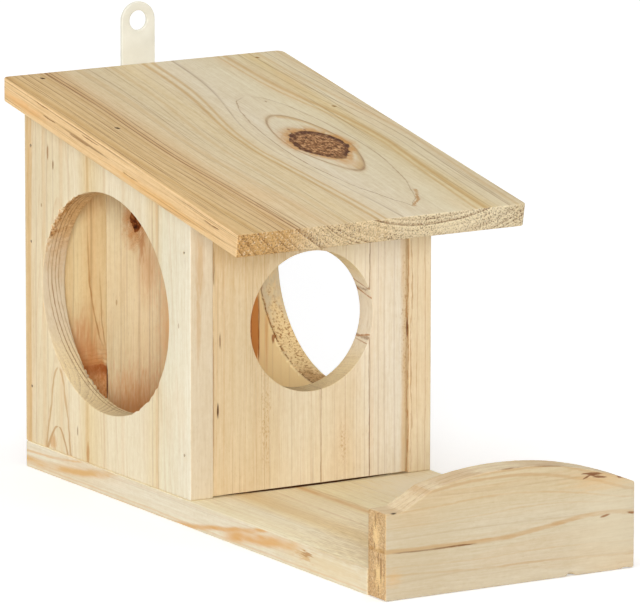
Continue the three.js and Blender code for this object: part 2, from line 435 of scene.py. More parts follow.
def lineMask(place, lines):
    # lines that stand out, each (distance from the rings' centre, half its width, strength)
    total, perRamp, margin = 0.0, 7, 5  # a ramp holds 32 stops, and a line takes four
    for start in range(0, len(lines), perRamp):
        some = lines[start:start + perRamp]
        stops = [(some[0][0] - margin, 0.0)]
        for spot, half, strength in some:
            core = half * 0.2
            stops += [(spot - half, 0.0), (spot - core, strength)]
            stops += [(spot + core, strength), (spot + half, 0.0)]
        total = place.ramp(stops + [(some[-1][0] + margin, 0.0)]) + total
    return total


def archMask(here, arch):
    # a pointed figure where the saw grazed a ring: (across, along) of its top, half its width, its drop
    across, along, _ = here.parts()
    bent = across - arch["top"][0] + here.grain((6, 9, 20), arch["drop"], 1) * arch["wobble"]
    fallen = ((arch["top"][1] - along) / arch["drop"]).atLeast(0)
    away = abs(abs(bent) - fallen ** 0.6 * arch["half"])
    return away.rise(arch["line"], arch["line"] * 0.3) * fallen.rise(0.0, 0.04) * arch["strength"]


# mark, vein and tear each give a function that lays one such thing over the wood: code is its colour, core
# the share of it that has its full strength, and ragged how uneven its edge is
def mark(at, half, code, strength, core=0.5, ragged=1.0, tilt=0, specks=False):
    # a streak, stain or pitch pocket, or a patch of painted shade or painted light: an oval patch at (across,
    # along, into) with half its size each way
    def lay(here, jitter, rim, colour):
        away = here - at
        if tilt:
            sockets = {"Vector": away, "Angle": math.radians(tilt)}
            away = away.node("ShaderNodeVectorRotate", {"rotation_type": "Z_AXIS"}, sockets)
        mask = ((away / half).length() + jitter * ragged).rise(1.0, core) * strength
        if specks:
            mask = mask * here.grain((0.8, 1.6, 0.8), at[1], 2, 0.7).rise(0.0, 0.6)
        return mask.over(colour, tint(code))
    return lay


def vein(path, half, code, strength, core=0.3, ragged=1.0, reach=None, taper=5, deep=False, span=None):
    # a line that wanders through (along, across) places, or (along, into) ones where it is deep and shows in
    # an edge or a hole's wall; reach is how much of it shows along the board, span across it
    spots = [spot for _, spot in path]
    low, wide = min(spots), max(spots) - min(spots)
    shares = [(at, (spot - low) / wide) for at, spot in path]

    def lay(here, jitter, rim, colour):
        across, along, into = here.parts()
        middle = along.ramp(shares, "CARDINAL") * wide + low
        away = abs((into if deep else across) - middle + jitter * ragged)
        mask = away.rise(half, half * core) * strength
        mask = mask * (here.grain((5, 22, 5), len(path) + low, 2).rise(-1.2, 0.5) * 0.6 + 0.4)
        if reach:
            start, end = reach
            mask = mask * along.rise(start, start + taper) * along.rise(end, end - taper)
        if deep:
            mask = mask * rim
        if span:
            left, right = span
            mask = mask * across.rise(left - 1, left) * across.rise(right + 1, right)
        return mask.over(colour, tint(code))
    return lay


def tear(at, half, code, strength, cover=0.65, core=0.55, ragged=0.25, pit="7a4a20"):
    # where the cutter pulled fibres out of a hole's wall: a patch of its own colour with darker pits, and
    # pale specks that are a painted highlight on the torn fibres
    def lay(here, rim, colour, height, seed):
        reach = ((here - at) / half).length() + here.grain((4, 7, 4), seed + 67, 2) * ragged
        torn = reach.rise(1.0, core) * rim
        pits = here.grain((0.9, 2.4, 1.5), seed + 71, 3, 0.7)
        colour = (torn * cover).over(colour, tint(code))
        # painted highlight: pale specks on the torn fibres
        colour = (torn * pits.rise(-0.2, -0.8) * 0.4).over(colour, tint("f3dfb5"))
        colour = (torn * pits.rise(-0.1, 0.7) * strength).over(colour, tint(pit))
        return colour, height - torn * pits.rise(0.0, 0.7) * 0.15
    return lay


def layKnot(here, colour, height, knot, seed):
    # its end grain in a dark rim, and the halo of wood that bends round it
    bent = here + here.grain((3, 4, 4), seed + 43, 2) * knot["ragged"] * (1.0, 1.0, 0.0)
    x, y, z = ((bent - knot["at"]) / knot["half"]).parts()
    pinch = 1 - y.rise(0.1, 1.3) * knot["point"]
    reach = (x * x / (pinch * pinch) + y * y + z * z) ** 0.5
    core, halo = reach.rise(1.03, 0.97), reach.rise(knot["halo"], 0.95)
    rim = reach.rise(0.66, 0.93) * here.grain((3.5, 5, 5), seed + 61, 3).rise(-1.0, 0.3)
    turns = reach * knot["circles"] + here.grain((5, 5, 5), seed + 53, 1) * 0.3
    wave = turns.calc("SINE", turns * (2 * math.pi)).rise(0.0, 1.0)
    speckle = here.grain((1.5, 3, 3), seed + 47, 4, 0.8)
    heart = speckle.ramp(tinted([(-0.6, knot["dark"]), (-0.05, knot["middle"]), (0.55, knot["pale"])]))
    heart = (rim * 0.9).over(heart, tint(knot["rim"]))
    patchy = here.grain((4, 6, 5), seed + 59, 3).rise(-1.1, 0.3)
    colour = (halo * patchy * knot["haloStrength"]).over(colour, tint(knot["haloTint"]))
    colour = (halo * (1 - core) * wave * knot["circleStrength"]).over(colour, tint(knot["rim"]))
    return core.over(colour, heart), height + core * (speckle * 0.06 - rim * 0.15)


def layEnds(here, late, facing, colour, height, ends, seed):
    # sawn ends and the parts of a hole's wall that cross the grain: paler, open pored, rings sharper
    across = here.parts()[0]
    end = facing.rise(0.35, 0.85)
    pores = here.grain((ends["poreSize"], 6, ends["poreSize"]), seed + 37, 1)
    chaff = here.grain((0.9, 6, 0.9), seed + 39, 3, 0.7)
    late = late ** 0.5
    patches = here.grain((13, 60, 5), seed + 41, 1).rise(-0.9, 0.7)
    colour = (end * ends["cover"]).over(colour, across.ramp(tinted(ends["zones"])))
    colour = (end * late * ends["rings"]).over(colour, tint(ends["late"]))
    colour = (end * chaff.rise(0.1, 0.9) * ends["chaff"]).over(colour, tint(ends["pale"]))
    dots = pores.rise(0.05, 0.4) * (patches * 0.5 + 0.5) * (late * 0.5 + 0.5) * ends["pores"]
    colour = (end * dots).over(colour, tint(ends["pore"]))
    return colour, height + end * (chaff * 0.08 - dots * 0.2)


def boardPlace(local, axes):
    # the place in the board's own axes, and how squarely its surface faces each of them
    turn = axes["turn"].copy()
    hand = -1 if turn.determinant() < 0 else 1  # a left-handed board is mirrored by its scale
    turn.col[2] *= hand
    sockets = {"Vector": local, "Location": axes["origin"] * mm, "Rotation": turn.to_euler(),
               "Scale": (mm, mm, mm * hand)}
    here = local.node("ShaderNodeMapping", {"vector_type": "TEXTURE"}, sockets)
    normal = local.node("ShaderNodeNewGeometry", {}, {}, "Normal")
    facing = [abs(local.calc("DOT_PRODUCT", normal, tuple(axes["turn"].col[i]))) for i in range(3)]
    return here, *facing


def pine(name, axes, wood):
    material, local = newMaterial(name)
    here, side, end, face = boardPlace(local, axes)
    seed, across = wood["seed"], here.parts()[0]
    late, place = yearRings(here, wood)

    fibre = here.grain((0.8, 16, 0.8), seed + 13, 3, 0.65)
    streak = here.grain((1.6, 90, 1.6), seed + 17, 3, 0.6)
    cloud = here.grain((2.2, 3.5, 2.2), seed + 19, 3, 0.7)
    thread = here.grain((0.8, 110, 0.8), seed + 21, 1).rise(0.45, 0.9)
    fleck = here.grain((0.6, 3.2, 0.6), seed + 23, 1).rise(0.65, 1.1)
    warm = here.grain((30, 110, 30), seed + 29, 2).rise(0.1, 1.3)
    jitter = here.grain((0.8, 7, 0.8), seed + 31, 3) * 0.3

    rim = face.rise(0.6, 0.2)
    shown = 1 - rim * wood["plainRim"]
    broken = here.grain((6, 60, 6), seed + 11, 2).rise(-1.3, 0.6) * 0.75 + 0.25
    figure = lineMask(place, wood["lines"]) * broken * shown

    colour = (across + streak * 0.8).ramp(tinted(wood["zones"]))
    if "edge" in wood:
        colour = (side.rise(0.5, 0.9) * 0.85).over(colour, tint(wood["edge"]))
    strength = across.ramp(wood["strength"])
    colour = (late * strength * shown).over(colour, tint(wood["lateTint"]))
    colour = (thread * strength * wood["threads"]).over(colour, tint(wood["lineTint"]))
    if "bands" in wood:
        colour = (lineMask(place, wood["bands"]) * shown).over(colour, tint(wood["bandTint"]))
    for arch in wood.get("arches", ()):
        colour = archMask(here, arch).over(colour, tint(arch["tint"]))
    colour = figure.over(colour, tint(wood["lineTint"]))
    colour = (warm * wood["warmth"]).over(colour, tint(wood["warmTint"]))
    texture = (fibre * wood["fibre"] + streak * wood["streak"] + cloud * wood["cloud"]) * wood["contrast"]
    shade = texture * (0.7, 1.0, 1.6) + (1.0, 1.0, 1.0)  # darker wood is warmer
    colour = (fleck * wood["flecks"]).over(colour * shade, tint(wood["lineTint"]))
    height = fibre * 0.006 - late * 0.008 - figure * 0.01 - fleck * 0.01
    for knot in wood.get("knots", ()):
        colour, height = layKnot(here, colour, height, knot, seed)
    colour, height = layEnds(here, late, end, colour, height, wood["ends"], seed)
    for lay in wood.get("tears", ()):
        colour, height = lay(here, rim, colour, height, seed)
    for lay in wood.get("veins", []) + wood["marks"]:
        colour = lay(here, jitter, rim, colour)
    roughness = wood["roughness"] + fibre * 0.05 + end * 0.1
    finishMaterial(local, colour, roughness, height, {"Specular IOR Level": wood["specular"]})
    return material


# A board's zones are its colours from one side to the other, and its strength is how dark the late wood is
# there. Its lines and bands are single rings that stand out, and its ends are the wood cut across the grain.
# plainRim is how much of the rings a hole's wall and the board's edges leave out.
plainPine = {"lateTint": "c99456", "lineTint": "96602a", "warmTint": "dcae74", "warmth": 0.35, "flecks": 0.12,
             "threads": 0.5, "fibre": 0.075, "streak": 0.05, "cloud": 0.05, "contrast": 1.0, "plainRim": 0.0,
             "roughness": 0.68, "specular": 0.15}
plainRings = {"wander": 1.2, "ripple": 0.2, "lean": 0.0, "soft": 0.4, "uneven": 2.5}
plainEnds = {"late": "a87848", "pore": "80522a", "pale": "f4e2b8", "cover": 0.7, "rings": 0.7, "chaff": 0.35,
             "pores": 0.6, "poreSize": 0.6}
pinStain = {"half": (0.95, 0.95, 1.6), "code": "5e3c1a", "strength": 0.8, "core": 0.4, "ragged": 0.5}

# Base board
base = {"front": wallY - baseLow.y, "half": baseHigh.x, "rounding": (2.6, 1.4, 1.3, 1.3)}
baseAxes = boardAxes((0, wallY, baseTop), (1, 0, 0), (0, -1, 0), (0, 0, -1))
baseWood = {
    "seed": 2.3, **plainPine,
    "zones": [(-66, "fef5d5"), (-60, "fcf0cd"), (-48, "f9edcf"), (-38, "f5e0b1"), (-28, "faebc7"),
              (-12, "fceecc"), (-7, "f6dfb1"), (0, "fef2cd"), (25, "fcecc1"), (66, "fdf0ca")],
    "edge": "e1d6bf",
    "rings": {**plainRings, "centre": -90, "pith": 30, "width": 3.4, "lean": 0.01},
    "strength": [(-66, 0.25), (66, 0.3)],
    "lines": [(110, 0.6, 0.2), (124, 0.7, 0.2)],
    "ends": {**plainEnds, "zones": [(-66, "e4c48c"), (66, "e4c48c")]},
    "veins": [
        vein([(0, 8.5), (30, 7.8), (60, 5), (80, 1.5), (92, -2)], 2.9, "d8aa68", 0.85, core=0.1, deep=True),
        vein([(0, 4.5), (30, 3.2), (50, 1.2), (64, -1)], 0.8, "dcb176", 0.6, deep=True),
        vein([(140, 13), (170, 9.5), (195, 5.5), (215, 2.2), (236, -2)], 1.9, "d8a25c", 0.9, core=0.1,
             deep=True),
        vein([(176, 11), (205, 7), (228, 4.6), (256, 2), (280, -1)], 4.2, "dba663", 0.95, core=0.2,
             deep=True, reach=(180, 262), taper=20),
        vein([(0, 10.8), (100, 10.2), (200, 10.9), (312, 10.4)], 0.6, "dcb985", 0.5, deep=True),
        vein([(140, -7.5), (200, -6), (316, -8)], 3.2, "dfb273", 0.6, core=0.1, ragged=2.0),
        vein([(140, -4.5), (200, -3), (316, -5)], 0.8, "c99a5c", 0.35, ragged=2.0),
    ],
    "marks": [
        mark((-34, 215, 0), (9, 120, 3), "e0bd86", 0.4, core=0.0, ragged=0.4),
        mark((-30, 300, 0), (70, 90, 3), "c2a87e", 0.8, core=0.0),
        mark((-66, 280, 6), (3, 70, 9), "dfc797", 0.6, core=0.0),
        # painted light: a paler patch on the base top, right of the middle, where the house and the tray
        # board shade it
        mark((44, 190, 0), (42, 60, 3), "fff4da", 0.9, core=0.2),
        # painted shade: the base top under the front panel's foot is painted dark, so the gap under the panel
        # looks black
        mark((0, 149.4, 0), (53, 6.3, 3), "6a3004", 0.97, core=0.97, ragged=0.1),
        mark((-66, 258, 5), (3, 9, 3.4), "cfa368", 0.6, core=0.1, ragged=3.0),
        mark((-66, 261, 4), (3, 5, 1.3), "b07c44", 0.6, ragged=3.0),
    ],
}
piece = makeBoard(
    "baseBoard", baseAxes, baseTop,
    fourSided(-base["half"], base["half"], 0, base["front"], base["rounding"]),
    pins=pinSpots(baseAxes, "base_pin"), pinsBehind=True, ease=0.7, wave=0.35, seed=1.7)
settle(piece, pine("basePine", baseAxes, baseWood), "base_board")

# Side panels, each with its large opening
sidePanel = {"holeCentre": (76.5, 91.5), "holeHalf": (59.5, 52.3), "rounding": 0.6}
# end grain of the side panels: its own pale colour, painted paler still to stand in for light on the holes'
# walls, which lie in shade
sideEnds = {**plainEnds, "zones": [(0, "fde8b8"), (156, "fde8b8")], "cover": 0.75, "rings": 0.5,
            "pores": 0.35}
leftWood = {
    "seed": 5.1, **plainPine,
    "zones": [(0, "e4d1aa"), (3, "dfbd89"), (8, "e4d3b0"), (28, "e5d5b2"), (50, "e9daba"), (60, "e3cd9f"),
              (80, "ebddbe"), (112, "ebdec0"), (122, "ebdab4"), (131, "eae0c3"), (156, "ebe2ca")],
    "edge": "dbc9ab", "plainRim": 1.0,
    "rings": {**plainRings, "centre": 32, "pith": 19, "width": 2.7, "lean": 0.093, "wander": 1.0},
    "strength": [(0, 0.5), (60, 0.35), (156, 0.25)], "threads": 0.25,
    "lines": [(-21.5, 0.5, 0.3), (-11, 0.6, 0.3), (-5, 0.5, 0.25), (10, 0.5, 0.3), (28, 0.6, 0.3),
              (44, 0.5, 0.25), (89, 0.5, 0.4), (94, 0.6, 0.3)],
    "bands": [(-27, 1.6, 0.5), (-14, 2.5, 0.3), (3, 2.5, 0.3), (28, 2.4, 0.4), (44, 1.6, 0.25),
              (62, 2.5, 0.2), (93, 2.2, 0.45)],
    "bandTint": "d9b27c",
    "arches": [{"top": (32, 54), "half": 12, "drop": 42, "line": 1.3, "strength": 0.6, "wobble": 0.8,
                "tint": "c0925a"},
               {"top": (31, 25), "half": 9, "drop": 11, "line": 1.4, "strength": 0.65, "wobble": 0.8,
                "tint": "b8864a"}],
    "ends": sideEnds,
    "marks": [
        mark((22.5, 155, 0), (0.9, 5, 2), "9c6a34", 0.75),
        mark((27.5, 150, 0), (0.8, 3, 2), "8c5828", 0.8),
        mark((50, 26, 0), (0.6, 3.2, 2), "8f5e2e", 0.7),
        mark((60, 17, 0), (1.6, 6, 2), "c08a50", 0.7),
        mark((27, 16.5, 0), (4, 4, 3), "cf9a5c", 0.6, ragged=2.0),
        mark((16, 129, 0), (0.8, 1.2, 2), "9c6a34", 0.6),
        mark((145, 93, 0), (0.7, 1.5, 2), "a57a48", 0.5),
        mark((156, 123, 5), (4, 24, 3.4), "cba673", 0.5, core=0.2),
        mark((156, 95, 4.2), (4, 26, 1.9), "cba673", 0.5, core=0.2),
    ],
    "veins": [
        *[vein([(38, deep + 5), (60, deep + 3), (90, deep), (118, deep - 0.6), (144, deep - 2)], half,
               "96602a", strong, deep=True, span=(10, 150), ragged=0.6)
          for deep, half, strong in ((3.2, 0.35, 0.6), (5.2, 0.45, 0.7), (7.2, 0.35, 0.55), (8.9, 0.4, 0.5))],
    ],
    "tears": [
        tear((40, 130, 9), (50, 52, 16), "d09c5c", 0.35, cover=0.8, core=0.2, ragged=0.12, pit="9a6028"),
        tear((36, 127, 0), (30, 28, 4.2), "bc8444", 0.8, cover=0.7),
    ],
}
rightWood = {
    "seed": 9.4, **plainPine,
    # painted light: this whole panel is painted paler and warmer than the left one, to stand in for light
    # inside the house, where it is seen
    "zones": [(0, "ffe0a6"), (40, "ffe4ae"), (90, "ffe0a8"), (156, "fbdeb4")],
    "edge": "e2d0ae", "threads": 0.2, "plainRim": 1.0,
    "rings": {**plainRings, "centre": 60, "pith": -30, "width": 3.0, "lean": 0.03},
    "strength": [(0, 0.25), (156, 0.25)],
    "lines": [(-44, 0.5, 0.4), (-36, 0.5, 0.3), (-28, 0.6, 0.35), (-20, 0.6, 0.25), (-12, 0.5, 0.3),
              (30, 0.6, 0.3), (60, 0.8, 0.3)],
    "ends": sideEnds,
    "veins": [
        vein([(30, 11.3), (60, 11.1), (90, 11.4)], 0.7, "8a5218", 0.9, deep=True, span=(10, 90), ragged=1.8),
        vein([(12, 11.2), (40, 10.6), (75, 11.4), (100, 10.4), (140, 11.2)], 0.5, "a86f34", 0.5, deep=True,
             span=(150, 160), ragged=2.4),
        vein([(12, 7.2), (60, 7.8), (140, 7)], 0.4, "b98650", 0.4, deep=True, span=(150, 160)),
        vein([(12, 3.4), (60, 3), (140, 3.6)], 0.35, "b98650", 0.4, deep=True, span=(150, 160)),
    ],
    "marks": [
        # painted light: the inner face and the panel's upper part are painted paler still
        mark((60, 80, 12.2), (100, 120, 1.2), "ffeab6", 0.6, core=0.9),
        mark((50, 112, 5), (60, 44, 9), "ffdea2", 0.6, core=0.6),
        mark((32, 55, 12), (1.5, 3, 3), "a0581c", 0.8),
        mark((26, 60, 12), (2.4, 30, 3), "e0a050", 0.5, core=0.1, ragged=0.6),
        mark((12, 58, 12), (7.6, 30, 4), "d28c44", 0.92, core=0.85, ragged=0.4),
        mark((18.6, 60, 12), (1.1, 26, 4), "9a5218", 0.6, ragged=0.8),
    ],
    "tears": [
        tear((40, 60, 12.5), (50, 34, 3.2), "e2ae60", 0.95, pit="9a5c1c"),
        tear((40, 52, 5), (50, 32, 7), "ffe2a8", 0.95, cover=0.85, pit="b06c24"),
        tear((76, 40, 9), (30, 8, 14), "d09c60", 0.6),
    ],
}
eave = house["depth"]
for side, sign, wood in (("left", -1, leftWood), ("right", 1, rightWood)):
    axes = boardAxes((sign * outerX, wallY, 0), (0, -1, 0), (0, 0, 1), (-sign, 0, 0))
    pins = pinSpots(axes, f"side_back_pin_{side}") + pinSpots(axes, f"side_front_pin_{side}")
    wood["marks"] += [mark((*spot, 0), **pinStain) for spot in pins]
    corners = [(0, baseTop), (eave, baseTop), (eave, underside(eave)), (0, underside(0))]
    rounded = [(*corner, sidePanel["rounding"]) for corner in corners]
    chips = [
        {"at": (32, 126), "reach": 27, "size": 1.5, "deep": 1.8, "pitch": 1.2},
        {"at": (124, 55), "reach": 10, "size": 1.2, "deep": 7, "pitch": 3.1},
        {"at": (104, 44), "reach": 9, "size": 0.8, "deep": 5, "pitch": 2.6},
        {"at": (50, 52), "reach": 26, "size": 1.4, "deep": 1.5, "pitch": 1.1, "fromBehind": True},
    ]
    piece = makeBoard(
        side + "SidePanel", axes, house["wall"], cornered(rounded),
        holes=[oval(sidePanel["holeCentre"], sidePanel["holeHalf"])], pins=pins, chips=chips,
        ease=0.35, wave=0.08, seed=3.1 + sign)
    settle(piece, pine(side + "Pine", axes, wood), side + "_side_panel")

# Front panel with the round entrance
frontPanel = {"foot": frontLow.z, "centre": (0, 90.5), "radius": 33, "rounding": (0.6,) * 4}
frontAxes = boardAxes((0, frontLow.y, 0), (1, 0, 0), (0, 0, 1), (0, 1, 0))
frontWood = {
    "seed": 14.2, **plainPine,
    "zones": [(-53, "dac29a"), (-40, "ddc8a3"), (-25, "e0cca7"), (-10, "e6d7b9"), (5, "e6d6b7"),
              (20, "e6d8ba"), (30, "eadcc2"), (48, "eadec8"), (51, "dec69c"), (53, "e1caa1")],
    "rings": {**plainRings, "centre": -260, "pith": 30, "width": 1.35, "wander": 0.8, "soft": 0.3,
              "uneven": 3},
    "strength": [(-53, 0.6), (20, 0.5), (30, 0.25), (53, 0.3)],
    "lines": [(264.5, 0.45, 0.35), (278, 0.4, 0.2), (288.5, 0.35, 0.25), (291.2, 0.4, 0.5), (296, 0.5, 0.25),
              (299.5, 0.5, 0.3), (305, 0.5, 0.2), (311.8, 1.2, 0.45)],
    # the entrance's wall and the panel's edges: pale end grain, painted paler still to stand in for light on
    # the shaded lower part of the entrance
    "ends": {**plainEnds, "zones": [(-53, "ffeec4"), (53, "f8e2b0")], "cover": 0.85, "rings": 0.35,
             "pores": 0.25},
    "plainRim": 1.0,
    "marks": [
        mark((-50.6, 54, 0), (0.8, 5, 2), "5a3008", 0.95, core=0.5),
        mark((-52.8, 60, 0), (0.4, 44, 2), "8a5828", 0.45),
        mark((-49.4, 86, 0), (0.45, 5, 2), "7c4d26", 0.85),
        mark((-52.6, 121, 0), (0.6, 15, 2), "6a4018", 0.6),
        mark((51.8, 82, 0), (0.6, 5.5, 2), "6b3d1a", 0.9),
        mark((17, 30, 0), (4, 14, 2), "b5803c", 0.6, core=0.0, specks=True),
        mark((-25, 46, 0), (4.5, 34, 2), "b5843e", 0.55, core=0.0, specks=True),
        mark((51, 84, 0), (4, 60, 2), "a8743a", 0.6, core=0.0, specks=True),
        # painted shadow: darker tan over the panel's upper left, under the roof's eave
        mark((-30, 146, 0), (64, 44, 3), "c8a46e", 0.85, core=0.0),
    ],
    "veins": [
        vein([(12, 51.3), (30, 52.4), (50, 51.8), (70, 52.6), (90, 51.6), (110, 52.6), (134, 51.6)], 0.5,
             "a86f34", 0.7, ragged=2.6),
        vein([(12, 49.3), (60, 49.9), (134, 49)], 1.8, "d3a566", 0.35, core=0.0, ragged=2.0),
        vein([(12, 31.4), (80, 31), (144, 31.6)], 0.35, "86572a", 0.6),
        *[vein(sorted((up + run * lean, deep) for run, deep in ((-1.2, -3), (0, 0), (12, 12), (15, 15))),
               half, "ae6c24", strong, deep=True, span=(15, 60), ragged=1.5)
          for up, lean, half, strong in ((97.6, 0.33, 2.2, 0.85), (102, 0.33, 1.6, 0.7),
                                         (80.8, -0.2, 3.2, 0.8), (76.4, 0.1, 4, 0.6))],
        vein([(12, 4.6), (30, 4.9), (56, 5.2)], 0.3, "9a6a3a", 0.5),
    ],
}
piece = makeBoard(
    "frontPanel", frontAxes, house["wall"],
    fourSided(-innerX, innerX, frontPanel["foot"], underside(eave), frontPanel["rounding"]),
    holes=[oval(frontPanel["centre"], (frontPanel["radius"],) * 2)],
    chips=[{"at": (28, 102), "reach": 8, "size": 0.6, "deep": 3, "pitch": 1.2}],
    ease=0.3, wave=0.06, seed=6.6)
settle(piece, pine("frontPine", frontAxes, frontWood), "front_panel")

# Back panel: two strips glued edge to edge, cut through a knot
seamX = boxOf("back_panel_left")[1].x
backAxes = boardAxes((0, wallY - house["wall"], 0), (1, 0, 0), (0, 0, 1), (0, 1, 0))
backRounding = (0.5,) * 4
innerKnot = {"dark": "cc8248", "middle": "e0a26a", "pale": "eeba86", "rim": "a45420", "haloTint": "d8904c",
             "haloStrength": 0.8, "ragged": 0.6, "point": 0.0, "circles": 5, "circleStrength": 0.3}
backEnds = {**plainEnds, "zones": [(-53, "e4c48c"), (53, "e4c48c")]}
seamStain = mark((seamX, 39, 0), (0.5, 11, 30), "6a2c0a", 0.9, core=0.6)
stripWoods = {
    "Left": {
        "seed": 21.7, **plainPine,
        "zones": [(-53, "eece99"), (-44, "f4ddac"), (-36, "eecc95"), (-27.3, "f2d8a6")],
        "rings": {**plainRings, "centre": -40, "pith": 24, "width": 3.2, "lean": 0.04},
        "strength": [(-53, 0.4), (-27, 0.4)],
        "lines": [(-6, 0.6, 0.3), (4, 1.0, 0.3)],
        "ends": backEnds,
        "veins": [
            vein([(52, -28), (60, -31), (72, -34), (86, -36.5), (125, -38)], 0.6, "b4762c", 0.7,
                 reach=(52, 118), taper=14),
            vein([(50, -27.5), (58, -28.5), (68, -30), (80, -30.5), (98, -31.5)], 0.5, "b4762c", 0.6,
                 reach=(50, 96), taper=14),
        ],
        "marks": [
            # painted shade: warm, darker orange over this strip, low and high
            mark((-42, 54, 0), (18, 28, 30), "da8e56", 0.7, core=0.0),
            mark((-42, 130, 0), (20, 14, 30), "c88a4c", 0.6, core=0.0),
            seamStain,
        ],
        "knots": [{**innerKnot, "at": (-35, 28, 0), "half": (24, 20, 90), "halo": 1.7, "circles": 9,
                   "ragged": 0.4}],
    },
    "Right": {
        "seed": 25.9, **plainPine,
        # painted light: paler round the middle, where the walls shade the strip
        "zones": [(-27.3, "f0ddb4"), (-15, "f3e0b8"), (-6, "fae2b8"), (4, "ffe9c2"), (25, "f8dcae"),
                  (53, "e9c48e")],
        "rings": {**plainRings, "centre": -70, "pith": 18, "width": 5.2, "lean": 0.01},
        "strength": [(-27, 0.4), (53, 0.4)],
        "lines": [(50, 0.6, 0.25), (60, 0.7, 0.25), (66, 0.6, 0.2), (72, 0.9, 0.3)],
        "ends": backEnds,
        "marks": [
            mark((-8, 103, 0), (2.2, 12, 30), "c2702c", 0.55, ragged=1.6, core=0.1),
            mark((-4, 92, 0), (8, 24, 30), "dc9450", 0.45, core=0.0),
            # painted shade: warmer, darker orange over the bottom
            mark((-12, 20, 0), (36, 34, 30), "dc8a48", 0.7, core=0.0),
            # painted light: a paler patch on the right part, which the walls shade
            mark((8, 60, 0), (10, 60, 30), "ffc484", 0.6, core=0.0),
            # painted shade: darker brown over the top
            mark((-22, 133, 0), (30, 16, 30), "cc9c66", 0.45, core=0.0),
            mark((-22, 77, 0), (0.6, 1.5, 30), "b07c40", 0.5),
            seamStain,
        ],
        "knots": [{**innerKnot, "at": (-11.2, 116, 0), "half": (3.2, 6, 60), "halo": 3.0, "dark": "3c1a06",
                   "middle": "7c3e16", "pale": "b4703c", "rim": "9a5220", "ragged": 1.8},
                  {**innerKnot, "at": (50, 58, 0), "half": (6.5, 20, 60), "halo": 1.3}],
    },
}
for name, left, right in (("Left", -innerX, seamX), ("Right", seamX, innerX)):
    piece = makeBoard(
        "backPanel" + name, backAxes, house["wall"],
        fourSided(left, right, baseTop, underside(house["wall"]), backRounding),
        ease=0.25, wave=0.04, seed=11.3 + left)
    material = pine("back" + name + "Pine", backAxes, stripWoods[name])
    settle(piece, material, "back_panel_" + name.lower())

# Roof board, cut plumb at the wall and square in front
slope = house["pitch"]
roofAxes = boardAxes((0, wallY, roof["top"]), (1, 0, 0), (0, -math.cos(slope), -math.sin(slope)),
                     (0, math.sin(slope), -math.cos(slope)))
roofPins = pinSpots(roofAxes, "roof_pin")
knotMiddle = 24  # across the board
